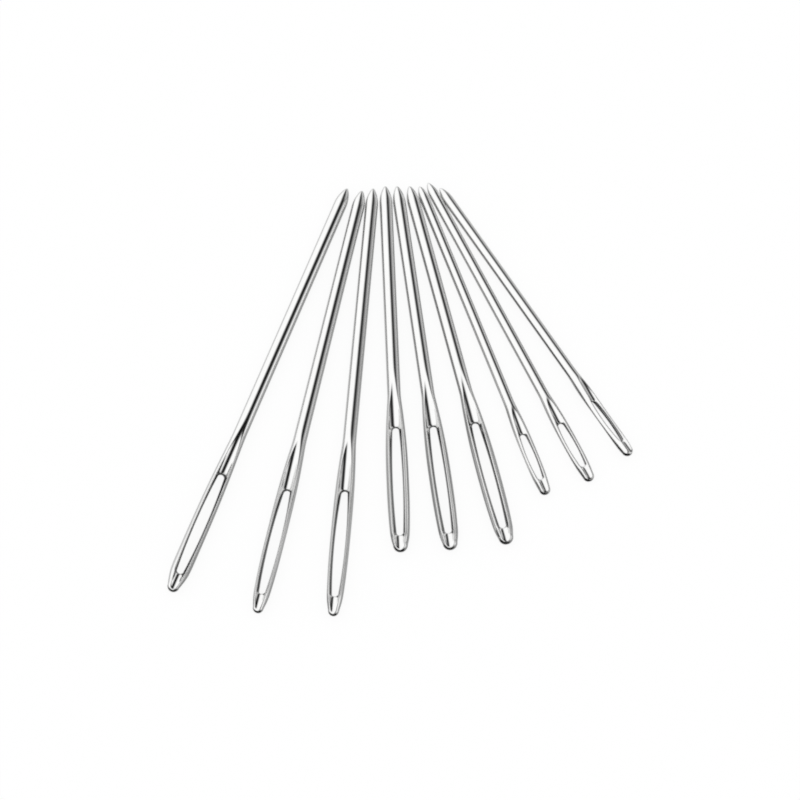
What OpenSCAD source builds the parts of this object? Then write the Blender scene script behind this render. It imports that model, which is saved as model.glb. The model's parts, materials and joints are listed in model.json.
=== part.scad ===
// Nine large-eye blunt yarn needles in three sizes, lying in a fan with their points together.
// Millimetres. The table is z = 0, x runs to the right and y away from the viewer.
// A needle is first built standing on its butt: z along the needle, x across the flat of the head,
// y through the eye. Every list of sizes has the full-headed large needle on the far left first, then
// the other two large ones, the three medium ones and the three small ones.

/* [Shaft and point] */
// Diameter of the shaft
shaft_d = [1.9, 1.9, 1.9, 1.5]; // [1:0.05:2.4]
// Length over which the point is ground
point_len = [3, 3, 3, 2.4]; // [2:0.1:6]
// Diameter of the round nose that ends the point
nose_d = [0.6, 0.6, 0.6, 0.5]; // [0.3:0.02:0.9]

/* [Head] */
// Width of the head where it is widest
head_w = [2.9, 2.9, 3.25, 2.25]; // [2:0.05:4]
// Distance from the butt's end to the widest place
widest_at = [7.5, 13.5, 11, 7]; // [4:0.5:16]
// Distance from the butt's end to the place where the head begins to swell
swell_at = [25.5, 27, 24.5, 15]; // [12:0.5:32]
// Thickness of the pressed head over the crests of its two rails, at the eye's upper end
rail_t = [1.7, 1.7, 1.7, 1.3]; // [1:0.05:2.2]
// Distance of a rail's crest from the middle of the head there
crest_at = [0.8, 0.8, 0.9, 0.65]; // [0.5:0.05:1.2]
// Tilt of a rail's outer flank beside its crest
flank_tilt = [35, 35, 35, 35]; // [20:1:45]
// Radius across a rail's outer flank
flank_r = [2, 2, 2.2, 1.5]; // [1:0.05:4]
// Length of the cone that narrows to the butt
butt_cone = [2.8, 2.4, 2.2, 2.2]; // [1.5:0.1:4]
// Diameter of the round end of the butt
butt_d = [1.7, 1.5, 2.1, 1.6]; // [1:0.05:2.4]

/* [Eye and grooves] */
// Length of the eye
eye_len = [16.6, 16.6, 17.2, 7.6]; // [5:0.1:20]
// Width of the eye at its middle
eye_w = [1.5, 1.6, 1.45, 1.25]; // [0.8:0.05:2.2]
// Width of the eye at its round ends
eye_end_w = [0.95, 0.95, 0.95, 0.8]; // [0.5:0.05:1.6]
// Metal left between the eye and the butt's end
butt_len = [2.8, 2.8, 2.4, 2.4]; // [2:0.1:5]
// Distance from the butt's end to the place where the grooves begin on the shaft
groove_at = [27.5, 27.5, 27.6, 13.8]; // [10:0.1:32]
// Radius across the floor of a groove at the eye's upper end, where it is deepest
groove_r = [0.85, 0.85, 0.95, 0.7]; // [0.5:0.05:1.6]
// Metal left between the floors of the two grooves there
groove_web = [0.66, 0.66, 0.6, 0.5]; // [0.3:0.02:1.4]
// Radius across the floor of a groove where it runs out over the butt
butt_groove_r = [0.7, 0.7, 0.75, 0.55]; // [0.4:0.05:1.6]
// Metal left between the floors of the two grooves there
butt_web = [1, 1, 1, 0.8]; // [0.4:0.05:1.6]

/* [Large needles, left to right] */
// Full length of each
large_len = [70, 70, 69.6]; // [60:0.1:80]
// Sideways place of each point
large_x = [-8.3, -6.1, -4.45]; // [-10:0.05:-3]
// Forward place of each point
large_y = [34.2, 33.8, 34.2]; // [32:0.1:36]
// Turn of each in the fan, positive where the butt lies to the right
large_fan = [-20.2, -11.8, -4.4]; // [-24:0.1:0]
// Roll of each on its axis, positive where the upper face turns to the right
large_roll = [14, -4, -5]; // [-20:1:20]

/* [Medium needles, left to right] */
// Full length of each
medium_len = [60, 60.1, 60.3]; // [50:0.1:70]
// Sideways place of each point
medium_x = [-2.65, -0.9, 0.95]; // [-3:0.05:2]
// Forward place of each point
medium_y = [34.6, 34.6, 34.6]; // [33:0.1:36]
// Turn of each in the fan
medium_fan = [2.2, 7.3, 13.2]; // [0:0.1:16]
// Roll of each on its axis
medium_roll = [-6, -6, -4]; // [-20:1:20]

/* [Small needles, left to right] */
// Full length of each
small_len = [54, 54.5, 52]; // [45:0.1:60]
// Sideways place of each point
small_x = [2.45, 3.7, 5.5]; // [2:0.05:7]
// Forward place of each point
small_y = [34.7, 35.3, 34.4]; // [33:0.1:36]
// Turn of each in the fan
small_fan = [19.4, 25, 31.2]; // [16:0.1:35]
// Roll of each on its axis, the last one lying on the edge of its head
small_roll = [5, 2, 28]; // [-20:1:40]

/* [Hidden] */

FULL = 0;
LARGE = 1;
MEDIUM = 2;
SMALL = 3;
large_lay = [large_len, large_x, large_y, large_fan, large_roll];
medium_lay = [medium_len, medium_x, medium_y, medium_fan, medium_roll];
small_lay = [small_len, small_x, small_y, small_fan, small_roll];
over = 0.5;     // how far a cutter runs past what it cuts
arc_fn = 64;    // sides of a round section where it is drawn
arc_step = 2;   // length of one step along a long shallow arc

// Radius of an arc that drops by "drop" at "run" from its crest
function arc_radius(run, drop) = (run * run + drop * drop) / (2 * drop);
// Drop of an arc of radius r at "run" from its crest
function arc_drop(r, run) = r - sqrt(r * r - run * run);

// Points of a long shallow arc from z = from to z = to, with its crest at the width "crest", z = at
function long_arc(crest, at, r, from, to) =
    let (steps = ceil(abs(to - from) / arc_step))
    [for (i = [0:steps]) let (z = from + (to - from) * i / steps) [crest - arc_drop(r, z - at), z]];
function mirrored(points) = [for (p = points) [-p[0], p[1]]];

// Radius of the arc that swells the head from the shaft to its full width
function swell_r(s) = arc_radius(swell_at[s] - widest_at[s], (head_w[s] - shaft_d[s]) / 2);
// Place of the upper end of the eye, from the butt's end
function eye_top(s) = butt_len[s] + eye_len[s];
// Middle of the eye, from the butt's end
function eye_mid(s) = butt_len[s] + eye_len[s] / 2;
// Middle of the arc of a rail's outer flank, across the head and from its middle
function flank_mid(s) = [
    crest_at[s] - flank_r[s] * sin(flank_tilt[s]),
    rail_t[s] / 2 - flank_r[s] * cos(flank_tilt[s])
];
// Place of a rail's crest across the head, where the head is widest, and its height from the middle
function rail_x(s) =
    0.92 * (butt_groove_r[s] + (groove_r[s] - butt_groove_r[s]) * widest_at[s] / eye_top(s));
function rail_y(s) = flank_mid(s)[1] + sqrt(pow(flank_r[s], 2) - pow(rail_x(s) - flank_mid(s)[0], 2));

// Half outline of the ground point, with its nose at the height "len"
module point_outline(s, len) {
    nose_r = nose_d[s] / 2;
    shaft_r = shaft_d[s] / 2;
    grind_r = arc_radius(point_len[s] - nose_r, shaft_r - nose_r);
    intersection() {
        translate([shaft_r - grind_r, len - point_len[s]]) circle(grind_r, $fn = 4 * arc_fn);
        translate([0, len - point_len[s]]) square([shaft_r, point_len[s] - nose_r]);
    }
    intersection() {
        translate([0, len - nose_r]) circle(nose_r, $fn = arc_fn);
        translate([0, len - 2 * nose_r]) square([nose_r, 2 * nose_r]);
    }
}

// Half outline of the head before it is pressed: a round end, a short cone and a long arc to the shaft
module head_outline(s) {
    end_r = butt_d[s] / 2;
    polygon(concat(
        [[0, swell_at[s]], [0, end_r], [end_r, end_r]],
        long_arc(head_w[s] / 2, widest_at[s], swell_r(s), butt_cone[s], swell_at[s])
    ));
    intersection() {
        translate([0, end_r]) circle(end_r, $fn = arc_fn);
        square([end_r, 2 * end_r]);
    }
}

// Turned blank: point, shaft and swollen head, round all over
module blank(s, len) {
    rotate_extrude($fn = arc_fn) {
        point_outline(s, len);
        translate([0, swell_at[s]]) square([shaft_d[s] / 2, len - point_len[s] - swell_at[s]]);
        head_outline(s);
    }
}

// Space between the press dies, which round the outer flanks of both rails, all the way along
module die_space(s, len) {
    translate([0, 0, -over])
        linear_extrude(len + 2 * over)
            intersection_for(side = [[1, 1], [-1, 1], [-1, -1], [1, -1]])
                translate([side[0] * flank_mid(s)[0], side[1] * flank_mid(s)[1]])
                    circle(flank_r[s], $fn = 4 * arc_fn);
}

// Round-nosed cut along the middle of one face, from its deepest place at the upper end of the eye to a
// floor at the height "end_at", "end_floor" from the middle of the head, and past both
module groove_run(s, end_at, end_floor, end_r) {
    axis_y = groove_web[s] / 2 + groove_r[s];
    rise = end_floor + end_r - axis_y;
    run = end_at - eye_top(s);
    translate([0, axis_y, eye_top(s)])
        rotate([-atan2(rise, run), 0, 0])
            translate([0, 0, -over])
                cylinder(r1 = groove_r[s], r2 = end_r, h = norm([rise, run]) + 2 * over, $fn = arc_fn);
}

// Upper run of a groove, which comes out of the shaft in a point
module upper_groove(s) {
    groove_run(s, groove_at[s], shaft_d[s] / 2, groove_r[s]);
}

// Lower run of a groove, which passes the eye and runs out over the butt
module lower_groove(s) {
    groove_run(s, 0, butt_web[s] / 2, butt_groove_r[s]);
}

// Outline of the eye: two long arcs with a round end on each
module eye_outline(s) {
    end_r = eye_end_w[s] / 2;
    straight = eye_len[s] / 2 - end_r;
    side_r = arc_radius(straight, (eye_w[s] - eye_end_w[s]) / 2);
    polygon(concat(
        long_arc(eye_w[s] / 2, 0, side_r, -straight, straight),
        mirrored(long_arc(eye_w[s] / 2, 0, side_r, straight, -straight))
    ));
    for (end = [-1, 1]) translate([0, end * straight]) circle(end_r, $fn = arc_fn);
}

// The same cut on both faces of the head
module both_faces() {
    for (side = [0, 1]) mirror([0, side, 0]) children();
}

// One needle standing on its butt
module standing_needle(s, len) {
    difference() {
        difference() {
            intersection() {
                blank(s, len);
                die_space(s, len);
            }
            both_faces() upper_groove(s);
        }
        both_faces() lower_groove(s);
        translate([0, 0, eye_mid(s)])
            rotate([90, 0, 0])
                linear_extrude(2 * shaft_d[s], center = true) eye_outline(s);
    }
}

// Needle n of a size group laid on the table, where "lay" has the group's lengths, places, turns and rolls.
// It rests on its shaft, or on a rail of its head where that is lower.
module laid_needle(s, lay, n) {
    len = lay[0][n];
    point_x = lay[1][n];
    point_y = lay[2][n];
    fan = lay[3][n];
    roll = lay[4][n];
    shaft_r = shaft_d[s] / 2;
    head_reach = rail_y(s) * cos(roll) + rail_x(s) * sin(abs(roll));
    lift = max(0, head_reach - shaft_r);
    pitch = asin(lift / (len - point_len[s] - widest_at[s]));
    color("silver")
        translate([point_x, point_y, shaft_r])
            rotate([0, 0, fan])
                translate([0, -point_len[s], 0])
                    rotate([-90 - pitch, 0, 0])
                        rotate([0, 0, roll])
                            translate([0, 0, point_len[s] - len])
                                standing_needle(s, len);
}

module needle_large_1() { laid_needle(FULL, large_lay, 0); }
module needle_large_2() { laid_needle(LARGE, large_lay, 1); }
module needle_large_3() { laid_needle(LARGE, large_lay, 2); }
module needle_medium_1() { laid_needle(MEDIUM, medium_lay, 0); }
module needle_medium_2() { laid_needle(MEDIUM, medium_lay, 1); }
module needle_medium_3() { laid_needle(MEDIUM, medium_lay, 2); }
module needle_small_1() { laid_needle(SMALL, small_lay, 0); }
module needle_small_2() { laid_needle(SMALL, small_lay, 1); }
module needle_small_3() { laid_needle(SMALL, small_lay, 2); }

needle_large_1();
needle_large_2();
needle_large_3();
needle_medium_1();
needle_medium_2();
needle_medium_3();
needle_small_1();
needle_small_2();
needle_small_3();
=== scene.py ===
"""Nine large-eye blunt yarn needles in three sizes, laid in a fan with their points together.

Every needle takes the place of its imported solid, with the same sizes and the same lay. One Geometry Nodes
tree gives it a smooth polished form, and a bright nickel finish goes on it. A pale floor lies under the fan,
in a plain soft studio. Sizes in the classes are millimetres and degrees, and Blender's are metres.
"""

import json
import logging
import math
from dataclasses import dataclass, replace
from enum import Enum
from typing import Optional, Union

import bpy
from mathutils import Matrix, Vector


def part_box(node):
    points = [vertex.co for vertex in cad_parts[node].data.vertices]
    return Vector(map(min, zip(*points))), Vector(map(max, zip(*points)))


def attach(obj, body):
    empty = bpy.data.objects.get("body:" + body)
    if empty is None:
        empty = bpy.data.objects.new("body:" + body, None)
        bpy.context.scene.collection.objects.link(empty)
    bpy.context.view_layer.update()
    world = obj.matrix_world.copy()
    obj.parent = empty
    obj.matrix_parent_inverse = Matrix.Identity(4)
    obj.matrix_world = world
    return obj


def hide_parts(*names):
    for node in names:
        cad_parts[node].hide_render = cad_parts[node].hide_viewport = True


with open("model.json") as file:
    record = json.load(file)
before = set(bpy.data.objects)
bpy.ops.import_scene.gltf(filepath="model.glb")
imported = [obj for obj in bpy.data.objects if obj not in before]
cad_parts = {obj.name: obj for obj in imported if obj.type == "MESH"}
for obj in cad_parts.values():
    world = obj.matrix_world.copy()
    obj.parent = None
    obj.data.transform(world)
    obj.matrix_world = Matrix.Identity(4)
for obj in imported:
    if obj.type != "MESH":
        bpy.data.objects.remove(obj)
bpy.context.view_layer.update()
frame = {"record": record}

MM = 0.001

log = logging.getLogger("needles")

Value = Union["Term", float, tuple]


def grey(level: float) -> tuple[float, float, float, float]:
    """A grey as a colour."""
    return level, level, level, 1.0


def added(name: str, data: bpy.types.ID) -> bpy.types.Object:
    """Adds an object to the scene.

    Args:
        name: the object's name.
        data: its mesh or camera.

    Returns:
        The object.
    """
    thing = bpy.data.objects.new(name, data)
    bpy.context.scene.collection.objects.link(thing)
    return thing


class Term:
    """A socket in a node tree. Python's operators on it add Math or Vector Math nodes."""

    def __init__(self, bench: "Bench", socket: bpy.types.NodeSocket) -> None:
        """Wraps one output socket of a node."""
        self.bench = bench
        self.socket = socket

    def __add__(self, other: Value) -> "Term":
        """Sum."""
        return self.bench.maths("ADD", self, other)

    def __sub__(self, other: Value) -> "Term":
        """Difference."""
        return self.bench.maths("SUBTRACT", self, other)

    def __rsub__(self, other: Value) -> "Term":
        """Difference with this term taken away."""
        return self.bench.maths("SUBTRACT", other, self)

    def __mul__(self, other: Value) -> "Term":
        """Product, or a scaled vector."""
        return self.bench.maths("MULTIPLY", self, other)

    def __truediv__(self, other: Value) -> "Term":
        """Quotient."""
        return self.bench.maths("DIVIDE", self, other)

    def __rtruediv__(self, other: Value) -> "Term":
        """Quotient with this term below."""
        return self.bench.maths("DIVIDE", other, self)

    def __neg__(self) -> "Term":
        """Negative."""
        return self.bench.maths("MULTIPLY", self, -1.0)

    def __abs__(self) -> "Term":
        """Size without its sign."""
        return self.bench.maths("ABSOLUTE", self)

    def __gt__(self, other: Value) -> "Term":
        """1 where this is the greater, and 0 elsewhere."""
        return self.bench.maths("GREATER_THAN", self, other)

    def __lt__(self, other: Value) -> "Term":
        """1 where this is the smaller, and 0 elsewhere."""
        return self.bench.maths("LESS_THAN", self, other)

    __radd__ = __add__
    __rmul__ = __mul__

    @property
    def is_vector(self) -> bool:
        """Whether the socket carries a vector."""
        return self.socket.type == "VECTOR"


class Bench:
    """A node tree in the making, with the few calls that all the trees here are written in."""

    def __init__(self, tree: bpy.types.NodeTree) -> None:
        """Starts on a tree, and empties it."""
        tree.nodes.clear()
        self.tree = tree

    def socket(self, name: str, kind: str, side: str = "INPUT") -> None:
        """Gives a group's tree a named input or output."""
        self.tree.interface.new_socket(name=name, in_out=side, socket_type=f"NodeSocket{kind}")

    def node(
        self, kind: str, settings: Optional[dict] = None, inputs: Optional[dict] = None
    ) -> bpy.types.Node:
        """Makes any node.

        Args:
            kind: Blender's name of the node's type.
            settings: its properties, set before its sockets; "stops" are a colour ramp's places and greys.
            inputs: what its sockets hold, by name or number: a Term is linked, anything else is a value.

        Returns:
            The node.
        """
        node = self.tree.nodes.new(kind)
        for name, value in (settings or {}).items():
            if name == "stops":
                self.set_stops(node.color_ramp, value)
            else:
                setattr(node, name, value)
        for key, value in (inputs or {}).items():
            if isinstance(value, Term):
                self.tree.links.new(value.socket, node.inputs[key])
            else:
                node.inputs[key].default_value = value
        return node

    @staticmethod
    def set_stops(ramp: bpy.types.ColorRamp, stops: list[tuple[float, float]]) -> None:
        """Fills a colour ramp with greys.

        Args:
            ramp: the ramp, with no more stops than it is to have.
            stops: each grey's place and its level.
        """
        while len(ramp.elements) < len(stops):
            ramp.elements.new(1.0)
        for element, (place, level) in zip(ramp.elements, stops):
            element.position = place
            element.color = grey(level)

    def term(self, node: bpy.types.Node, output: Union[int, str] = 0) -> Term:
        """One output of a node, by number or name."""
        return Term(self, node.outputs[output])

    def result(self, kind: str, settings: Optional[dict] = None, inputs: Optional[dict] = None) -> Term:
        """The first output of a new node, made as "node" makes it."""
        return self.term(self.node(kind, settings, inputs))

    def maths(self, operation: str, *values: Value) -> Term:
        """Adds a Math node, or a Vector Math node where a value is a vector.

        Args:
            operation: Blender's name of the operation.
            values: terms or numbers, in the node's order.

        Returns:
            The result.
        """
        vectors = [isinstance(v, tuple) or (isinstance(v, Term) and v.is_vector) for v in values]
        if not any(vectors):
            return self.result("ShaderNodeMath", {"operation": operation}, dict(enumerate(values)))
        if operation == "MULTIPLY" and not all(vectors):
            arrow, scale = values if vectors[0] else reversed(values)
            return self.result("ShaderNodeVectorMath", {"operation": "SCALE"}, {0: arrow, "Scale": scale})
        node = self.node("ShaderNodeVectorMath", {"operation": operation}, dict(enumerate(values)))
        return self.term(node, "Value" if operation in ("DOT_PRODUCT", "LENGTH") else "Vector")

    def sqrt(self, value: Value) -> Term:
        """Square root."""
        return self.maths("SQRT", value)

    def greater(self, a: Value, b: Value, soft: Value = 0.0) -> Term:
        """The greater of two, rounded over the distance "soft" where they cross."""
        return self.maths("MAXIMUM", a, b) if soft == 0.0 else self.maths("SMOOTH_MAX", a, b, soft)

    def lesser(self, a: Value, b: Value, soft: Value = 0.0) -> Term:
        """The lesser of two, rounded over the distance "soft" where they cross."""
        return self.maths("MINIMUM", a, b) if soft == 0.0 else self.maths("SMOOTH_MIN", a, b, soft)

    def clamped(self, value: Value) -> Term:
        """The value kept between 0 and 1."""
        return self.lesser(self.greater(value, 0.0), 1.0)

    def ramp(self, value: Term, start: float, end: float) -> Term:
        """How far a value is on its way from "start" to "end", kept between 0 and 1."""
        return self.clamped((value - start) / (end - start))

    def parts(self, vector: Term) -> tuple[Term, Term, Term]:
        """The three parts of a vector."""
        node = self.node("ShaderNodeSeparateXYZ", inputs={0: vector})
        return self.term(node, 0), self.term(node, 1), self.term(node, 2)

    def vector(self, x: Value, y: Value, z: Value) -> Term:
        """A vector of three parts."""
        return self.result("ShaderNodeCombineXYZ", inputs={0: x, 1: y, 2: z})

    def mixed(self, share: Value, a: Value, b: Value) -> Term:
        """A number that goes from a to b as the share goes from 0 to 1."""
        return self.result("ShaderNodeMix", {"data_type": "FLOAT"}, {0: share, 2: a, 3: b})

    def mixed_colour(self, share: Value, a: Value, b: Value) -> Term:
        """A colour that goes from a to b as the share goes from 0 to 1."""
        node = self.node("ShaderNodeMix", {"data_type": "RGBA"}, {0: share, 6: a, 7: b})
        return self.term(node, 2)

    def noise(self, place: Term, cells: Value, detail: float) -> Term:
        """Soft noise between 0 and 1, with "cells" to a unit, in all directions or in each of the three."""
        inputs = {"Vector": place * cells, "Scale": 1.0, "Detail": detail}
        return self.result("ShaderNodeTexNoise", None, inputs)

    def kept(self, name: str, output: str = "Fac") -> Term:
        """What the mesh keeps under a name, as a number or as its "Vector"."""
        return self.term(self.node("ShaderNodeAttribute", {"attribute_name": name}), output)


def arc_radius(run: float, drop: float) -> float:
    """Radius of an arc that drops by "drop" at "run" from its crest."""
    return (run * run + drop * drop) / (2 * drop)


@dataclass(frozen=True)
class NeedleSize:
    """Sizes of one kind of needle. Places along it are measured from the butt's end.

    The first group has the names and values of the solids. The polished flank and what follows it are the
    fine forms that the solids leave out.

    Attributes:
        shaft_d, point_len, nose_d: the wire's width, and the length and the rounding of its ground point.
        head_w, widest_at, swell_at: the pressed head's width, where it is that wide and where it starts.
        rail_t, crest_at, flank_tilt, flank_r: thickness over a rail's crest, how far out the crest lies,
            and the slope and the radius with which the rail's outer flank leaves it.
        butt_cone, butt_d: where the head starts to narrow towards the butt, and the butt's width.
        eye_len, eye_w, eye_end_w, butt_len: the eye, its width at the middle and the ends, and how far from
            the butt's end it begins.
        groove_at, groove_r, groove_web: where the long groove runs out, its radius, and the metal that it
            leaves between the faces.
        butt_groove_r, butt_web: the same for the groove over the butt.
        polished_at, polished_tilt, polished_r: crest, slope and radius of the flank as it is polished.
        eye_shade_width: width of the painted shade that darkens the eye's wall.
        butt_round, ridge_round, flank_round, rim_round: rounding of the butt, the groove's edges, the flanks
            and the eye's rim.
        eye_flare, flare_start: slope with which the eye opens towards a face, and the height where it starts.
    """

    shaft_d: float
    point_len: float
    nose_d: float
    head_w: float
    widest_at: float
    swell_at: float
    rail_t: float
    crest_at: float
    flank_tilt: float
    flank_r: float
    butt_cone: float
    butt_d: float
    eye_len: float
    eye_w: float
    eye_end_w: float
    butt_len: float
    groove_at: float
    groove_r: float
    groove_web: float
    butt_groove_r: float
    butt_web: float
    polished_at: float
    polished_tilt: float
    polished_r: float
    eye_shade_width: float = 0.067
    butt_round: float = 0.25
    eye_flare: float = 0.6
    flare_start: float = 0.3
    ridge_round: float = 0.2
    flank_round: float = 0.15
    rim_round: float = 0.3

    CREST_SHARE = 0.92

    def swell_radius(self) -> float:
        """Radius of the long arc that swells the head."""
        return arc_radius(self.swell_at - self.widest_at, (self.head_w - self.shaft_d) / 2)

    def head_half_width(self, place: float) -> float:
        """Half the head's width at a place below its swell."""
        return self.head_w / 2 - (place - self.widest_at) ** 2 / (2 * self.swell_radius())

    def arc_middle(self, crest_at: float, tilt: float, radius: float) -> tuple[float, float]:
        """Middle of the arc that falls outwards from a rail's crest, across the head and up."""
        tilt = math.radians(tilt)
        return crest_at - radius * math.sin(tilt), self.rail_t / 2 - radius * math.cos(tilt)

    def rail_crest(self) -> tuple[float, float]:
        """A rail's highest place where the head is widest, beside the groove's edge.

        Returns:
            How far it lies across the head and up from its middle.
        """
        share = self.widest_at / (self.butt_len + self.eye_len)
        x = self.CREST_SHARE * (self.butt_groove_r + (self.groove_r - self.butt_groove_r) * share)
        mid_x, mid_y = self.arc_middle(self.crest_at, self.flank_tilt, self.flank_r)
        return x, mid_y + math.sqrt(self.flank_r ** 2 - (x - mid_x) ** 2)

    def form_inputs(self, length: float) -> dict[str, float]:
        """What the needle form's tree asks for, by the names of its inputs.

        Args:
            length: the needle's full length.

        Returns:
            Each input's value, in millimetres or as a slope.
        """
        shaft_r = self.shaft_d / 2
        nose_r = self.nose_d / 2
        butt_r = self.butt_d / 2
        eye_top = self.butt_len + self.eye_len
        eye_end_r = self.eye_end_w / 2
        deep = self.groove_web / 2
        flank = self.arc_middle(self.polished_at, self.polished_tilt, self.polished_r)
        return {
            "Length": length,
            "Shaft radius": shaft_r,
            "Point length": self.point_len,
            "Point arc": arc_radius(self.point_len - nose_r, shaft_r - nose_r),
            "Nose radius": nose_r,
            "Head half width": self.head_w / 2,
            "Widest at": self.widest_at,
            "Swell arc": self.swell_radius(),
            "Swell end": self.swell_at,
            "Flank middle across": flank[0],
            "Flank middle height": flank[1],
            "Flank radius": self.polished_r,
            "Flank round": self.flank_round,
            "Butt radius": butt_r,
            "Butt slope": (self.head_half_width(self.butt_cone) - butt_r) / (self.butt_cone - butt_r),
            "Butt round": self.butt_round,
            "Eye top": eye_top,
            "Eye middle": self.butt_len + self.eye_len / 2,
            "Eye straight": self.eye_len / 2 - eye_end_r,
            "Eye end radius": eye_end_r,
            "Eye bulge": (self.eye_w - self.eye_end_w) / 2,
            "Eye flare": self.eye_flare,
            "Flare start": self.flare_start,
            "Burr": self.eye_shade_width,
            "Groove radius": self.groove_r,
            "Butt groove radius": self.butt_groove_r,
            "Groove floor": deep,
            "Groove rise": (shaft_r - deep) / (self.groove_at - eye_top),
            "Groove run out": (self.butt_web - self.groove_web) / 2 / eye_top,
            "Ridge round": self.ridge_round,
            "Rim round": self.rim_round,
        }


class Kind(Enum):
    """The kinds of needle in the set. The one on the far left is large too, with a fuller head."""

    LARGE = NeedleSize(
        shaft_d=1.9, point_len=3, nose_d=0.6, head_w=2.9, widest_at=13.5, swell_at=27,
        rail_t=1.7, crest_at=0.8, flank_tilt=35, flank_r=2,
        butt_cone=2.4, butt_d=1.5, eye_len=16.6, eye_w=1.6, eye_end_w=0.95, butt_len=2.8,
        groove_at=27.5, groove_r=0.85, groove_web=0.66, butt_groove_r=0.7, butt_web=1,
        polished_at=0.95, polished_tilt=52, polished_r=3.3)
    FULL = replace(
        LARGE, widest_at=7.5, swell_at=25.5, butt_cone=2.8, butt_d=1.7, eye_w=1.5, eye_shade_width=0.3, butt_round=0.7)
    MEDIUM = replace(
        LARGE, head_w=3.25, widest_at=11, swell_at=24.5, crest_at=0.9, flank_r=2.2,
        butt_cone=2.2, butt_d=2.1, eye_len=17.2, eye_w=1.45, butt_len=2.4,
        groove_at=27.6, groove_r=0.95, groove_web=0.6, butt_groove_r=0.75,
        polished_at=1.05, polished_tilt=48, polished_r=3.6, rim_round=0.4)
    SMALL = NeedleSize(
        shaft_d=1.5, point_len=2.4, nose_d=0.5, head_w=2.25, widest_at=7, swell_at=15,
        rail_t=1.3, crest_at=0.65, flank_tilt=35, flank_r=1.5,
        butt_cone=2.2, butt_d=1.6, eye_len=7.6, eye_w=1.25, eye_end_w=0.8, butt_len=2.4,
        groove_at=13.8, groove_r=0.7, groove_web=0.5, butt_groove_r=0.55, butt_web=0.8,
        polished_at=0.65, polished_tilt=35, polished_r=1.5, rim_round=0.6)


@dataclass(frozen=True)
class Lay:
    """One needle of the fan as its solid has it: kind, length, its point's place, its turn and its roll."""

    kind: Kind
    length: float
    point_x: float
    point_y: float
    fan: float
    roll: float

    def matrix(self) -> Matrix:
        """The move from a needle that stands on its butt to where it lies, in millimetres.

        Returns:
            The matrix. A needle lies on its shaft, or on a rail of its head where that is lower.
        """
        size = self.kind.value
        shaft_r = size.shaft_d / 2
        roll = math.radians(self.roll)
        rail_x, rail_y = size.rail_crest()
        head_reach = rail_y * math.cos(roll) + rail_x * math.sin(abs(roll))
        lift = max(0.0, head_reach - shaft_r)
        pitch = math.asin(lift / (self.length - size.point_len - size.widest_at))
        return (
            Matrix.Translation((self.point_x, self.point_y, shaft_r))
            @ Matrix.Rotation(math.radians(self.fan), 4, "Z")
            @ Matrix.Translation((0, -size.point_len, 0))
            @ Matrix.Rotation(-math.pi / 2 - pitch, 4, "X")
            @ Matrix.Rotation(roll, 4, "Z")
            @ Matrix.Translation((0, 0, size.point_len - self.length))
        )


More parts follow.
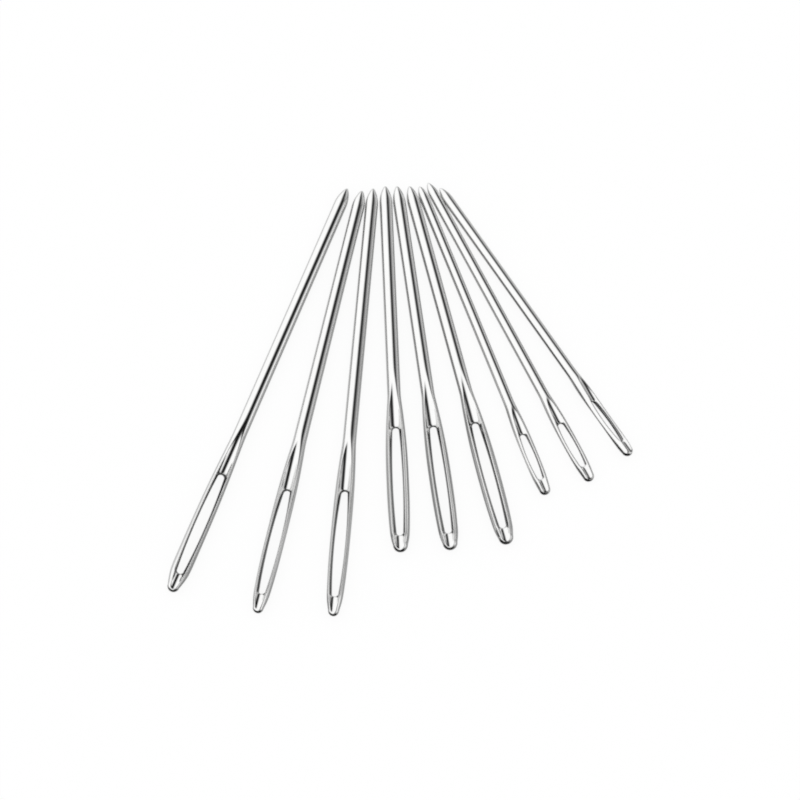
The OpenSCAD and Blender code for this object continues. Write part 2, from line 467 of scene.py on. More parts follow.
class NeedleForm:
    """The Geometry Nodes tree that shapes a needle standing on its butt: z along it, y through the eye.

    A box of square cells, with a smaller box taken through it for the eye, gives the mesh its order. Its
    points are first put near the needle's surface and then drawn onto it, while they are evened out.
    """

    # Cells of the box: columns from the middle to the edge, through the side, and over half the eye
    HALF_COLUMNS = 28
    SIDE_COLUMNS = 12
    EYE_COLUMNS = 9
    FACE_ANGLE = math.radians(75)
    MERGE = 0.1

    # Length of a row in each stretch, from the butt, and how far the stretch over the swell runs past it
    ROW_PITCH = {"butt": 0.1, "eye": 0.15, "swell": 0.15, "shaft": 0.8, "point": 0.12}
    PAST_SWELL = 2.0

    # First places: shares of the butt's and the nose's radius at the ends, and the columns beside the eye
    BUTT_START = 0.3
    NOSE_START = 0.35
    NOSE_LEAST = 0.6
    EYE_MARGIN = 0.05
    EYE_FADE = 3.0
    ARCH_DROP = 0.3
    ARCH_FADE = 0.1

    # Roundings where two forms meet
    POINT_ROUND = 0.25
    SWELL_ROUND = 0.12
    FLARE_ROUND = 0.2
    RUN_OUT_ROUND = 1.0

    # Drawing the points onto the surface
    EVENING_ROUNDS = 10
    FINAL_DRAWS = 5
    STEP_LIMIT = 0.25
    PROBE = 0.02
    LEAST_STEEP = 0.1

    # What the mesh keeps for the finish, and how wide the eye's rim and its wall's edge are; the wall's edge
    # carries a painted shade
    RIM_WIDTH = 0.4
    WALL_EDGE = 0.02
    PLACE = "needle_place"
    FROM_POINT = "from_point"
    RIM = "eye_rim"
    WALL_SHADE = "eye_wall"

    def __init__(self) -> None:
        """Builds the tree, with one input for each size."""
        self.sizes = list(Kind.LARGE.value.form_inputs(70))
        self.distance = self.build_distance()
        self.tree = self.build_tree()

    def new_tree(self, name: str, first: tuple[str, str], last: list[tuple[str, str]]) -> tuple[Bench, dict]:
        """Starts a tree whose inputs are one given socket and then all the sizes.

        Args:
            name: the tree's name.
            first: the first input's name and kind.
            last: the outputs' names and kinds.

        Returns:
            The bench, and the terms of the inputs by name.
        """
        bench = Bench(bpy.data.node_groups.new(name, "GeometryNodeTree"))
        bench.socket(*first)
        for size in self.sizes:
            bench.socket(size, "Float")
        for label, kind in last:
            bench.socket(label, kind, "OUTPUT")
        entry = bench.node("NodeGroupInput")
        return bench, {label: bench.term(entry, label) for label in [first[0], *self.sizes]}

    def build_distance(self) -> bpy.types.NodeTree:
        """The group that gives how far a place lies outside the needle's surface.

        Returns:
            The group, with the place and the sizes as inputs, and the distances to the needle and the eye.
        """
        bench, size = self.new_tree(
            "needle_distance", ("Place", "Vector"), [("Distance", "Float"), ("Eye distance", "Float")])
        x, y, z = bench.parts(size["Place"])
        side = abs(y)

        along = z - size["Widest at"]
        across = bench.sqrt(x * x + y * y)

        # Shaft with its ground point, which starts above the widest place
        past_grind = bench.greater(z - (size["Length"] - size["Point length"]), 0.0)
        inset = size["Point arc"] - size["Shaft radius"]
        shaft = bench.sqrt((across + inset) * (across + inset) + past_grind * past_grind) - size["Point arc"]
        nose = z - size["Length"] + across * across / (size["Nose radius"] * 2.0)
        point = bench.greater(shaft, nose, self.POINT_ROUND)
        point = bench.greater(point, size["Widest at"] - z)

        # Head: a long arc, a short cone and a round end
        hollow = size["Swell arc"] - size["Head half width"]
        arc = bench.sqrt((across + hollow) * (across + hollow) + along * along) - size["Swell arc"]
        body = bench.lesser(arc, point, self.SWELL_ROUND)
        below = bench.lesser(z - size["Butt radius"], 0.0)
        cone = size["Butt radius"] + bench.greater(z - size["Butt radius"], 0.0) * size["Butt slope"]
        butt = bench.sqrt(across * across + below * below) - cone
        body = bench.greater(body, butt, size["Butt round"])

        # Outer flanks of the two rails, rounded by the press
        flank_x = abs(x) - size["Flank middle across"]
        flank_y = side - size["Flank middle height"]
        flank = bench.sqrt(flank_x * flank_x + flank_y * flank_y) - size["Flank radius"]
        body = bench.greater(body, flank, size["Flank round"])

        # Round-nosed groove on both faces, narrower over the butt
        floor, wide = self.groove(bench, size, z)
        depth = bench.lesser(side - floor - wide, 0.0)
        body = bench.greater(body, wide - bench.sqrt(x * x + depth * depth), size["Ridge round"])

        # Eye, right through, wider towards both faces
        beside = self.beside_eye(bench, size, x, z)
        flare = bench.greater(side - size["Flare start"], 0.0, self.FLARE_ROUND) * size["Eye flare"]
        body = bench.greater(body, flare - beside, size["Rim round"])

        bench.node("NodeGroupOutput", inputs={"Distance": body, "Eye distance": beside})
        return bench.tree

    @staticmethod
    def beside_eye(bench: Bench, size: dict[str, Term], across: Term, along: Term) -> Term:
        """How far a place lies outside the eye's narrowest outline.

        Args:
            bench: the tree that asks.
            size: its terms of the sizes.
            across: the place across the head.
            along: the place along the needle.

        Returns:
            The distance, which is below 0 in the eye.
        """
        from_middle = abs(along - size["Eye middle"])
        past_straight = bench.greater(from_middle - size["Eye straight"], 0.0)
        share = bench.lesser(from_middle / size["Eye straight"], 1.0)
        half_width = size["Eye end radius"] + size["Eye bulge"] * (1.0 - share * share)
        return bench.sqrt(across * across + past_straight * past_straight) - half_width

    @classmethod
    def groove(cls, bench: Bench, size: dict[str, Term], along: Term) -> tuple[Term, Term]:
        """The groove at a place along it.

        Args:
            bench: the tree that asks.
            size: its terms of the sizes.
            along: the place along the needle.

        Returns:
            How far its floor lies from the head's middle, and its radius.
        """
        above_eye = along - size["Eye top"]
        floor = (
            size["Groove floor"]
            + bench.greater(above_eye, 0.0, cls.RUN_OUT_ROUND) * size["Groove rise"]
            + bench.greater(-above_eye, 0.0) * size["Groove run out"]
        )
        share = bench.clamped(along / size["Eye top"])
        return floor, bench.mixed(share, size["Butt groove radius"], size["Groove radius"])

    def measure(self, bench: Bench, size: dict[str, Term], place: Term) -> tuple[Term, Term]:
        """Distances of a place outside the needle's surface and outside the eye.

        Args:
            bench: the tree that asks.
            size: its terms of the sizes.
            place: where to measure.

        Returns:
            The two distances.
        """
        inputs = {"Place": place, **{name: size[name] for name in self.sizes}}
        group = bench.node("GeometryNodeGroup", {"node_tree": self.distance}, inputs)
        return bench.term(group, "Distance"), bench.term(group, "Eye distance")

    def drawn(self, bench: Bench, size: dict[str, Term], mesh: Term) -> Term:
        """Draws a mesh's points one step straight towards the needle's surface.

        Args:
            bench: the tree.
            size: its terms of the sizes.
            mesh: the mesh to draw.

        Returns:
            The drawn mesh.
        """
        place = bench.result("GeometryNodeInputPosition")
        here, _ = self.measure(bench, size, place)
        steps = [(self.PROBE, 0, 0), (0, self.PROBE, 0), (0, 0, self.PROBE)]
        slopes = [(self.measure(bench, size, place + step)[0] - here) / self.PROBE for step in steps]
        slope = bench.vector(*slopes)
        steep = bench.greater(bench.maths("DOT_PRODUCT", slope, slope), self.LEAST_STEEP)
        reach = bench.greater(bench.lesser(here, self.STEP_LIMIT), -self.STEP_LIMIT)
        offset = slope * (-reach / steep)
        return bench.result("GeometryNodeSetPosition", None, {"Geometry": mesh, "Offset": offset})

    def cell_box(self, bench: Bench, columns: int, rows: Term, start: Value) -> Term:
        """A box of unit cells.

        Args:
            bench: the tree.
            columns: how many cells it reaches each way from the middle.
            rows: how many cells long it is.
            start: the row at which it starts.

        Returns:
            The box.
        """
        box = bench.node("GeometryNodeMeshCube", None, {
            "Size": bench.vector(2.0 * columns, float(self.SIDE_COLUMNS), rows),
            "Vertices X": 2 * columns + 1,
            "Vertices Y": self.SIDE_COLUMNS + 1,
            "Vertices Z": rows + 1.0,
        })
        shift = bench.vector(0.0, 0.0, start + rows * 0.5)
        return bench.result("GeometryNodeSetPosition", None, {"Geometry": bench.term(box), "Offset": shift})

    def cells(self, bench: Bench, rows: dict[str, Term]) -> Term:
        """The box of cells with the eye's box taken through it.

        Args:
            bench: the tree.
            rows: how many rows each stretch has.

        Returns:
            The closed mesh, whose two faces are joined by the eye's walls.
        """
        total = rows["butt"] + rows["eye"] + rows["swell"] + rows["shaft"] + rows["point"]
        eye_end = rows["butt"] + rows["eye"]
        column, side, row = bench.parts(bench.result("GeometryNodeInputPosition"))
        on_face = abs(side) > self.SIDE_COLUMNS / 2 - 0.25
        over_eye = on_face * (abs(column) < float(self.EYE_COLUMNS)) * (row > rows["butt"]) * (row < eye_end)
        face_off = {"domain": "FACE", "mode": "ALL"}
        outer = bench.result("GeometryNodeDeleteGeometry", face_off, {
            "Geometry": self.cell_box(bench, self.HALF_COLUMNS, total, 0.0), "Selection": over_eye})
        wall = self.cell_box(bench, self.EYE_COLUMNS, rows["eye"], rows["butt"])
        wall = bench.result("GeometryNodeDeleteGeometry", face_off, {"Geometry": wall, "Selection": on_face})
        wall = bench.result("GeometryNodeFlipFaces", None, {"Mesh": wall})
        join = bench.node("GeometryNodeJoinGeometry")
        for part in (outer, wall):
            bench.tree.links.new(part.socket, join.inputs[0])
        return bench.result(
            "GeometryNodeMergeByDistance", None, {"Geometry": bench.term(join), "Distance": self.MERGE})

    def first_place(self, bench: Bench, size: dict[str, Term], rows: dict[str, Term]) -> Term:
        """Where each cell's corner goes at first, near the needle's surface.

        Args:
            bench: the tree.
            size: its terms of the sizes.
            rows: how many rows each stretch has.

        Returns:
            The place.
        """
        column, side, row = bench.parts(bench.result("GeometryNodeInputPosition"))

        # Place along the needle: each stretch has its own count of rows
        eye_half = size["Eye straight"] + size["Eye end radius"]
        stops = {
            "butt": size["Eye middle"] - eye_half + self.ARCH_DROP,
            "eye": size["Eye middle"] + eye_half - self.ARCH_DROP,
            "swell": size["Swell end"] + self.PAST_SWELL,
            "shaft": size["Length"] - size["Point length"],
            "point": size["Length"] - size["Nose radius"] * self.NOSE_START,
        }
        along = size["Butt radius"] * self.BUTT_START
        last_stop, last_row = along, 0.0
        for name, stop in stops.items():
            share = bench.clamped((row - last_row) / rows[name])
            along = along + share * (stop - last_stop)
            last_stop, last_row = stop, rows[name] + last_row

        # Half width there
        off_widest = along - size["Widest at"]
        swell = size["Head half width"] - off_widest * off_widest / (size["Swell arc"] * 2.0)
        in_end = bench.clamped(1.0 - along / size["Butt radius"])
        butt = size["Butt radius"] + bench.greater(along - size["Butt radius"], 0.0) * size["Butt slope"]
        butt = butt * bench.sqrt(1.0 - in_end * in_end)
        past_grind = bench.greater(along - stops["shaft"], 0.0)
        ground = bench.greater(size["Point arc"] * size["Point arc"] - past_grind * past_grind, 0.01)
        ground = bench.sqrt(ground) - (size["Point arc"] - size["Shaft radius"])
        ground = bench.greater(ground, size["Nose radius"] * self.NOSE_LEAST)
        half_width = bench.lesser(bench.greater(swell, size["Shaft radius"]), butt)
        half_width = bench.mixed(past_grind > 0.0, half_width, ground)

        # Place across: the columns over the eye are as wide as the eye, near it
        angle = column * (self.FACE_ANGLE / self.HALF_COLUMNS)
        eye_sine = math.sin(self.FACE_ANGLE * self.EYE_COLUMNS / self.HALF_COLUMNS)
        edge_sine = math.sin(self.FACE_ANGLE)
        from_middle = abs(along - size["Eye middle"])
        near_eye = bench.clamped(1.0 - (from_middle - eye_half) / self.EYE_FADE)
        share = bench.lesser(from_middle / size["Eye straight"], 1.0)
        eye_width = size["Eye end radius"] + size["Eye bulge"] * (1.0 - share * share) + self.EYE_MARGIN
        inner = bench.mixed(near_eye, half_width * eye_sine, eye_width)
        outer = half_width * edge_sine
        stretch = (outer - inner) / (outer - half_width * eye_sine)
        sine = bench.maths("SINE", angle)
        beyond = inner + (abs(sine) * half_width - half_width * eye_sine) * stretch
        over = abs(column) * (1.0 / self.EYE_COLUMNS)
        outside = abs(column) > self.EYE_COLUMNS + 0.5
        x = bench.maths("SIGN", column) * bench.mixed(outside, over * inner, beyond)

        # Half thickness there: the lowest of the round, the flank, the groove and the eye's flare
        flank_x = abs(x) - size["Flank middle across"]
        flank = bench.greater(size["Flank radius"] * size["Flank radius"] - flank_x * flank_x, 0.0)
        height = bench.sqrt(bench.greater(half_width * half_width - x * x, 0.0))
        height = bench.lesser(height, size["Flank middle height"] + bench.sqrt(flank))
        floor, wide = self.groove(bench, size, along)
        height = bench.lesser(height, floor + wide - bench.sqrt(bench.greater(wide * wide - x * x, 0.0)))
        beside = bench.greater(self.beside_eye(bench, size, x, along), 0.0)
        height = bench.lesser(height, size["Flare start"] + beside / size["Eye flare"])
        y = side * (2.0 / self.SIDE_COLUMNS) * height

        # The rows that end the eye are bent into its round ends
        bend = bench.greater(1.0 - over * over, 0.0) * self.ARCH_DROP
        top_row = rows["butt"] + rows["eye"]
        upper = bench.clamped(1.0 - abs(row - top_row) * self.ARCH_FADE) * (row > top_row - 0.5)
        lower = bench.clamped(1.0 - abs(row - rows["butt"]) * self.ARCH_FADE) * (row < rows["butt"] + 0.5)
        return bench.vector(x, y, along + bend * (upper - lower))

    def build_tree(self) -> bpy.types.NodeTree:
        """The needle's own tree, from cells to a finished mesh.

        Returns:
            The tree, with the finish, the sizes and the counts of rows as inputs.
        """
        bench, size = self.new_tree("needle_form", ("Finish", "Material"), [("Mesh", "Geometry")])
        for name in self.ROW_PITCH:
            bench.socket(f"Rows of {name}", "Int")
        entry = bench.node("NodeGroupInput")
        rows = {name: bench.term(entry, f"Rows of {name}") * 1.0 for name in self.ROW_PITCH}
        mesh = bench.result("GeometryNodeSetPosition", None, {
            "Geometry": self.cells(bench, rows), "Position": self.first_place(bench, size, rows)})
        mesh = self.drawn(bench, size, self.drawn(bench, size, mesh))

        # Even out the points, and draw them back each time
        opening = bench.node("GeometryNodeRepeatInput")
        closing = bench.node("GeometryNodeRepeatOutput")
        opening.pair_with_output(closing)
        opening.inputs["Iterations"].default_value = self.EVENING_ROUNDS
        bench.tree.links.new(mesh.socket, opening.inputs["Geometry"])
        place = bench.result("GeometryNodeInputPosition")
        even = bench.result(
            "GeometryNodeBlurAttribute", {"data_type": "FLOAT_VECTOR"}, {"Value": place, "Iterations": 1})
        moved = bench.result(
            "GeometryNodeSetPosition", None, {"Geometry": bench.term(opening, "Geometry"), "Position": even})
        moved = self.drawn(bench, size, self.drawn(bench, size, moved))
        bench.tree.links.new(moved.socket, closing.inputs["Geometry"])
        mesh = bench.term(closing, "Geometry")
        for _ in range(self.FINAL_DRAWS):
            mesh = self.drawn(bench, size, mesh)

        # What the finish reads: the place on the needle, the way from the point, the eye's rim and where the
        # eye's wall gets its painted shade
        place = bench.result("GeometryNodeInputPosition")
        _, eye = self.measure(bench, size, place)
        _, _, along = bench.parts(place)
        kept = {
            self.PLACE: ("FLOAT_VECTOR", place),
            self.FROM_POINT: ("FLOAT", size["Length"] - along),
            self.RIM: ("FLOAT", bench.clamped(1.0 - eye / self.RIM_WIDTH)),
            # Painted shade: how far the eye's wall is darkened, full next to the eye and fading out over its
            # width
            self.WALL_SHADE: ("FLOAT", bench.clamped(1.0 - (eye - self.WALL_EDGE) / size["Burr"])),
        }
        for name, (kind, value) in kept.items():
            mesh = bench.result("GeometryNodeStoreNamedAttribute", {"data_type": kind}, {
                "Geometry": mesh, "Name": name, "Value": value})
        mesh = bench.result("GeometryNodeSetShadeSmooth", None, {"Geometry": mesh})
        mesh = bench.result("GeometryNodeRealizeInstances", None, {"Geometry": mesh})
        mesh = bench.result("GeometryNodeSetMaterial", None, {"Geometry": mesh, "Material": size["Finish"]})
        bench.node("NodeGroupOutput", inputs={"Mesh": mesh})
        return bench.tree

    def row_counts(self, size: NeedleSize, length: float) -> dict[str, int]:
        """How many rows of cells each stretch of the needle gets.

        Args:
            size: sizes of its kind.
            length: its full length.

        Returns:
            The counts, by the stretch's name.
        """
        eye_top = size.butt_len + size.eye_len
        swell_end = size.swell_at + self.PAST_SWELL
        stretches = {
            "butt": size.butt_len,
            "eye": size.eye_len,
            "swell": swell_end - eye_top,
            "shaft": length - size.point_len - swell_end,
            "point": size.point_len,
        }
        return {name: round(stretch / self.ROW_PITCH[name]) for name, stretch in stretches.items()}

    def mesh(self, name: str, lay: Lay, finish: bpy.types.Material) -> bpy.types.Object:
        """Makes one needle as a plain mesh where it lies.

        Args:
            name: the piece's name.
            lay: its kind and where it lies.
            finish: its material.

        Returns:
            The piece, at the origin, with its place in its mesh.
        """
        size = lay.kind.value
        holder = added(f"{name}_form", bpy.data.meshes.new(f"{name}_form"))
        modifier = holder.modifiers.new("form", "NODES")
        modifier.node_group = self.tree
        values = {"Finish": finish, **size.form_inputs(lay.length)}
        values.update({f"Rows of {part}": count for part, count in self.row_counts(size, lay.length).items()})
        for item in self.tree.interface.items_tree:
            if item.in_out == "INPUT":
                value = values[item.name]
                modifier[item.identifier] = float(value) if item.socket_type == "NodeSocketFloat" else value
        graph = bpy.context.evaluated_depsgraph_get()
        mesh = bpy.data.meshes.new_from_object(holder.evaluated_get(graph), depsgraph=graph)
        holder.modifiers.remove(modifier)
        bpy.data.objects.remove(holder)
        mesh.name = name
        mesh.transform(Matrix.Scale(MM, 4) @ lay.matrix())
        return added(name, mesh)


@dataclass(frozen=True)
class NickelFinish:
    """Bright nickel plate on polished steel wire, with faint draw lines, hairline scratches, worn edges and a
    painted shade on the eye's wall.

    Attributes:
        name: the material's name.
        eye_shade_grey: the grey of the painted shade on the eye's wall.
        bright, dull, rough_low, rough_high: colour and roughness of the plate, clean and then hazy or worn.
        line_cells, wave_cells, ring_cells: cells to a millimetre of the draw lines, of the wire's slight
            waves and of the grinding lines round the point.
        haze_cells, slant_cells, patch_cells: the same of the haze, of the noise whose middle the scratches
            follow, and of the patches that they lie in.
        line_relief, wave_relief, ring_relief, scratch_relief: heights of the first three, and the
            scratches' depth.
        scratch_fineness: how fine the scratches are.
        ground_from, ground_to: from where to where on the point the grinding lines come in.
        dulled_by, roughened_by: shares of the haze, the eye's rim, the scratches and the grinding in both.
    """

    name: str
    eye_shade_grey: float
    bright: tuple[float, float, float] = (0.72, 0.72, 0.716)
    dull: tuple[float, float, float] = (0.64, 0.64, 0.636)
    rough_low: float = 0.05
    rough_high: float = 0.13
    line_cells: tuple[float, float, float] = (9.0, 9.0, 0.12)
    line_relief: float = 0.0006
    wave_cells: tuple[float, float, float] = (0.5, 0.5, 0.1)
    wave_relief: float = 0.004
    ring_cells: tuple[float, float, float] = (0.6, 0.6, 9.0)
    ring_relief: float = 0.001
    haze_cells: tuple[float, float, float] = (1.4, 1.4, 0.25)
    slant_cells: tuple[float, float, float] = (2.2, 2.2, 0.35)
    scratch_fineness: float = 90.0
    scratch_relief: float = 0.00036
    patch_cells: float = 0.35
    ground_from: float = 3.2
    ground_to: float = 1.95
    dulled_by: tuple[float, float, float] = (0.35, 0.35, 0.4)
    roughened_by: tuple[float, float, float, float] = (0.5, 0.5, 0.4, 0.3)

    def material(self) -> bpy.types.Material:
        """Builds the material.

        Returns:
            The material, which reads each needle's own place attribute.
        """
        material = bpy.data.materials.new(self.name)
        material.use_nodes = True
        bench = Bench(material.node_tree)
        place = bench.kept(NeedleForm.PLACE, "Vector")
        rim = bench.kept(NeedleForm.RIM)

        # Draw lines run along the needle, and the point's grinding lines run round it
        lines = bench.noise(place, self.line_cells, 3.0)
        waves = bench.noise(place, self.wave_cells, 1.0)
        rings = bench.noise(place, self.ring_cells, 2.0)
        ground = bench.ramp(bench.kept(NeedleForm.FROM_POINT), self.ground_from, self.ground_to)

        # Hairline scratches: thin bands where a stretched noise crosses its middle, in some patches
        slant = bench.noise(place, self.slant_cells, 0.0)
        patch = bench.clamped(bench.noise(place, self.patch_cells, 2.0) * 3.0 - 1.4)
        scratch = bench.clamped(1.0 - abs(slant - 0.5) * self.scratch_fineness) * patch

        haze = bench.clamped(bench.noise(place, self.haze_cells, 3.0) * 1.6 - 0.3)
        dulled, roughened = (
            bench.clamped(sum(wear * share for wear, share in zip((haze, rim, scratch, ground), shares)))
            for shares in (self.dulled_by, self.roughened_by)
        )
        colour = bench.mixed_colour(dulled, (*self.bright, 1.0), (*self.dull, 1.0))
        # Painted shade: the eye's wall is darkened to a plain grey, as if in shadow
        colour = bench.mixed_colour(bench.kept(NeedleForm.WALL_SHADE), colour, grey(self.eye_shade_grey))
        relief = (
            lines * self.line_relief
            + waves * self.wave_relief
            + rings * ground * self.ring_relief
            - scratch * self.scratch_relief
        )
        bump = bench.result("ShaderNodeBump", None, {"Height": relief, "Distance": MM, "Strength": 1.0})
        shader = bench.result("ShaderNodeBsdfPrincipled", None, {
            "Base Color": colour,
            "Metallic": 1.0,
            "Roughness": bench.mixed(roughened, self.rough_low, self.rough_high),
            "Normal": bump,
        })
        bench.node("ShaderNodeOutputMaterial", inputs={"Surface": shader})
        return material


@dataclass
class NeedleGroup:
    """The needles of one size group in the fan.

    Attributes:
        label: the group's word in the names of its nodes.
        eye_shade_grey: how bright the painted shade on the walls of its eyes is.
        lays: its needles, from left to right.
    """

    label: str
    eye_shade_grey: float
    lays: list[Lay]

    def dress(self, form: NeedleForm) -> None:
        """Puts a finished needle in each node's place.

        Args:
            form: the tree that shapes them.
        """
        slot = f"nickel_{self.label}"
        finish = NickelFinish(slot, self.eye_shade_grey).material()
        for number, lay in enumerate(self.lays, start=1):
            node = f"needle_{self.label}_{number}"
            piece = form.mesh(f"{node}_polished", lay, finish)
            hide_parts(node)
            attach(piece, self.body_of(node))
            log.info("%s: %d faces, off its solid by %.2f mm", piece.name, len(piece.data.polygons),
                     self.offset(piece, node))

    @staticmethod
    def body_of(node: str) -> str:
        """The name of the body that carries a node."""
        return next(body for body, nodes in frame["record"]["behaviour"]["bodies"].items() if node in nodes)

    @staticmethod
    def offset(piece: bpy.types.Object, node: str) -> float:
        """How far a piece's box departs from its node's, in millimetres, which must stay small."""
        spans = [[corner[axis] for corner in piece.bound_box] for axis in range(3)]
        return max(
            abs(end(span) - wall[axis])
            for end, wall in zip((min, max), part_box(node)) for axis, span in enumerate(spans)) / MM


@dataclass(frozen=True)
class Ring:
    """What the needles mirror from one depth of the surround. Its levels at the turns below the horizon are a
    painted shade that stands in for the floor beside the needles.

    Attributes:
        depth: how far back its directions point, from -1 at the front to 1 at the back.
        levels: its brightness at each of the studio's turns.
    """

    depth: float
    levels: tuple[float, ...]


@dataclass
class Studio:
    """A pale floor, a soft white surround with darker sides for the needles to mirror, and the camera. Below
    the horizon the surround is a painted shade in place of the floor, which the needles don't mirror.

    Attributes:
        aim, distance, elevation, view_angle: the camera's target, how far from it the camera stands and how
            far above the table, and how wide it sees.
        pixel_filter: how many pixels wide the picture's softness is.
        floor_half, floor_gap: half the floor's width, in metres, and how far it lies under the needles.
        floor_lit, floor_shown, floor_white: the floor's grey as the light finds it, the share of plain white
            in it as the camera sees it, and that white's strength.
        strength, ambient: the surround's strength, and its level for all that is not mirrored.
        turns: angles of the rings' levels, from below by the left and straight up, which is 0, to the right.
        rings: the rings, from the front to the back; their levels past 90 degrees either way are painted
            shade.
        shade_below_height, shade_below_depth: from where to where, in height and in depth, the front darkens
            below, a painted shade that the needles mirror.
    """

    aim: tuple[float, float, float] = (-0.45, -0.75, 0.0)
    distance: float = 500.0
    elevation: float = 62.45
    view_angle: float = 13.177
    pixel_filter: float = 2.0
    floor_half: float = 1.5
    floor_gap: float = 0.1
    floor_lit: float = 0.9
    floor_shown: float = 0.9
    floor_white: float = 1.01
    strength: float = 1.39
    ambient: float = 0.72
    turns: tuple[float, ...] = (
        -180, -150, -135, -120, -106, -96, -6, 4, 12, 20, 30, 42, 52, 64, 76, 90, 104, 118, 135, 150, 180)
    # Painted shade: past 90 degrees either way, below the horizon, the levels stand in for the floor and its
    # shadow beside the needles
    rings: tuple[Ring, ...] = (
        Ring(-0.04, (0.03, 0.02, 0.02, 0.02, 0.04, 1, 1, 0.6, 0.1, 0.01, 0.005,
                     0.01, 0.04, 0.5, 1, 0.95, 0.5, 0.33, 0.25, 0.1, 0.03)),
        Ring(0.12, (0.1, 0.3, 0.4, 0.45, 0.65, 1, 1, 0.5, 0.03, 0.005, 0.005,
                    0.01, 0.04, 0.5, 1, 0.9, 0.5, 0.33, 0.25, 0.2, 0.1)),
        Ring(0.27, (0.1, 0.1, 0.1, 0.15, 0.35, 1, 1, 0.45, 0.06, 0.01, 0.005,
                    0.01, 0.1, 0.35, 0.55, 0.6, 0.45, 0.33, 0.25, 0.2, 0.1)),
        Ring(0.37, (0.25, 0.2, 0.2, 0.25, 0.5, 1, 1, 0.55, 0.1, 0.02, 0.01,
                    0.02, 0.06, 0.2, 0.32, 0.4, 0.4, 0.36, 0.3, 0.25, 0.25)),
        Ring(0.46, (0.3, 0.35, 0.4, 0.45, 0.65, 1, 1, 0.7, 0.18, 0.03, 0.01,
                    0.04, 0.15, 0.36, 0.46, 0.42, 0.3, 0.27, 0.24, 0.22, 0.3)),
        Ring(0.75, (0.4, 0.4, 0.45, 0.55, 0.75, 1, 1, 0.75, 0.35, 0.08, 0.01,
                    0.02, 0.08, 0.3, 0.6, 0.7, 0.4, 0.3, 0.25, 0.25, 0.4)),
    )
    shade_below_height: tuple[float, float] = (0.15, -0.05)
    shade_below_depth: tuple[float, float] = (-0.4, -0.7)

    def camera(self) -> None:
        """Sets the camera at the photograph's viewing angle."""
        lens = bpy.data.cameras.new("camera")
        lens.sensor_width = 36
        lens.angle = math.radians(self.view_angle)
        lens.clip_start = 0.01
        camera = added("camera", lens)
        slope = math.radians(self.elevation)
        offset = Vector((0, -math.cos(slope), math.sin(slope))) * self.distance
        camera.location = (Vector(self.aim) + offset) * MM
        camera.rotation_euler = (math.pi / 2 - slope, 0, 0)
        bpy.context.scene.camera = camera

    def surround(self) -> None:
        """Lights the scene from a world that the needles mirror as rings of light and dark, whose dark below
        the horizon is a painted shade in place of the floor.
        """
        world = bpy.data.worlds.new("studio")
        bpy.context.scene.world = world
        world.use_nodes = True
        bench = Bench(world.node_tree)
        side, depth, height = bench.parts(bench.term(bench.node("ShaderNodeTexCoord"), "Generated"))
        turn = bench.clamped(bench.maths("ARCTAN2", side, height) / (2 * math.pi) + 0.5)
        places = [angle / 360 + 0.5 for angle in self.turns]
        mirrored, last = None, None
        for ring in self.rings:
            levels = bench.result("ShaderNodeValToRGB", {"stops": list(zip(places, ring.levels))}, {0: turn})
            if last:
                levels = bench.mixed_colour(bench.ramp(depth, last.depth, ring.depth), mirrored, levels)
            mirrored, last = levels, ring
        # Painted shade: the surround turns black below and towards the front, standing in for the floor in
        # shadow
        under = bench.ramp(height, *self.shade_below_height) * bench.ramp(depth, *self.shade_below_depth)
        mirrored = bench.mixed_colour(under, mirrored, grey(0.0))
        glossy = bench.term(bench.node("ShaderNodeLightPath"), "Is Glossy Ray")
        level = bench.mixed_colour(glossy, grey(self.ambient), mirrored)
        light = bench.result("ShaderNodeBackground", None, {"Color": level, "Strength": self.strength})
        bench.node("ShaderNodeOutputWorld", inputs={"Surface": light})

    def floor(self) -> None:
        """Lays the floor, which the camera sees as white with a faint shadow."""
        half = self.floor_half
        mesh = bpy.data.meshes.new("floor")
        corners = [(-half, -half), (half, -half), (half, half), (-half, half)]
        mesh.from_pydata([(x, y, -self.floor_gap * MM) for x, y in corners], [], [(0, 1, 2, 3)])
        floor = added("floor", mesh)
        # The needles mirror the surround's painted shade below the horizon in place of this floor
        floor.visible_glossy = False
        material = bpy.data.materials.new("floor")
        material.use_nodes = True
        bench = Bench(material.node_tree)
        camera = bench.term(bench.node("ShaderNodeLightPath"), "Is Camera Ray")
        lit = bench.result("ShaderNodeBsdfDiffuse", None, {"Color": grey(self.floor_lit)})
        white = bench.result("ShaderNodeEmission", None, {"Color": grey(1.0), "Strength": self.floor_white})
        shown = bench.result("ShaderNodeMixShader", None, {0: self.floor_shown, 1: lit, 2: white})
        surface = bench.result("ShaderNodeMixShader", None, {0: camera, 1: lit, 2: shown})
        bench.node("ShaderNodeOutputMaterial", inputs={"Surface": surface})
        mesh.materials.append(material)

    def build(self) -> None:
        """Builds the camera, the surround and the floor."""
        self.camera()
        self.surround()
        self.floor()
        bpy.context.scene.view_settings.view_transform = "Standard"
        bpy.context.scene.cycles.filter_width = self.pixel_filter


GROUPS = [
    NeedleGroup("large", 0.19, [
        Lay(Kind.FULL, 70, -8.3, 34.2, -20.2, 14),
        Lay(Kind.LARGE, 70, -6.1, 33.8, -11.8, -4),
        Lay(Kind.LARGE, 69.6, -4.45, 34.2, -4.4, -5),
    ]),
    NeedleGroup("medium", 0.37, [
        Lay(Kind.MEDIUM, 60, -2.65, 34.6, 2.2, -6),
        Lay(Kind.MEDIUM, 60.1, -0.9, 34.6, 7.3, -6),
        Lay(Kind.MEDIUM, 60.3, 0.95, 34.6, 13.2, -4),
    ]),
    NeedleGroup("small", 0.37, [
        Lay(Kind.SMALL, 54, 2.45, 34.7, 19.4, 5),
        Lay(Kind.SMALL, 54.5, 3.7, 35.3, 25, 2),
        Lay(Kind.SMALL, 52, 5.5, 34.4, 31.2, 28),
    ]),
]


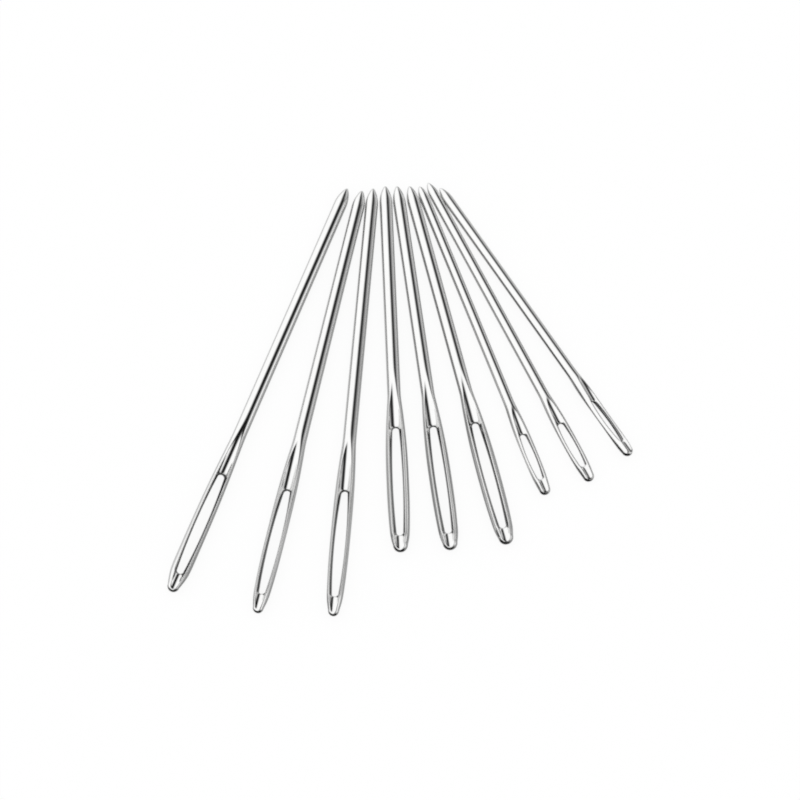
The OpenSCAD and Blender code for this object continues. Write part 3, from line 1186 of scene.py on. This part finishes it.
def main() -> None:
    """Builds the studio and dresses the needles, group by group."""
    logging.basicConfig(level=logging.INFO, format="%(message)s")
    Studio().build()
    form = NeedleForm()
    for group in GROUPS:
        group.dress(form)


if __name__ == "__main__":
    main()
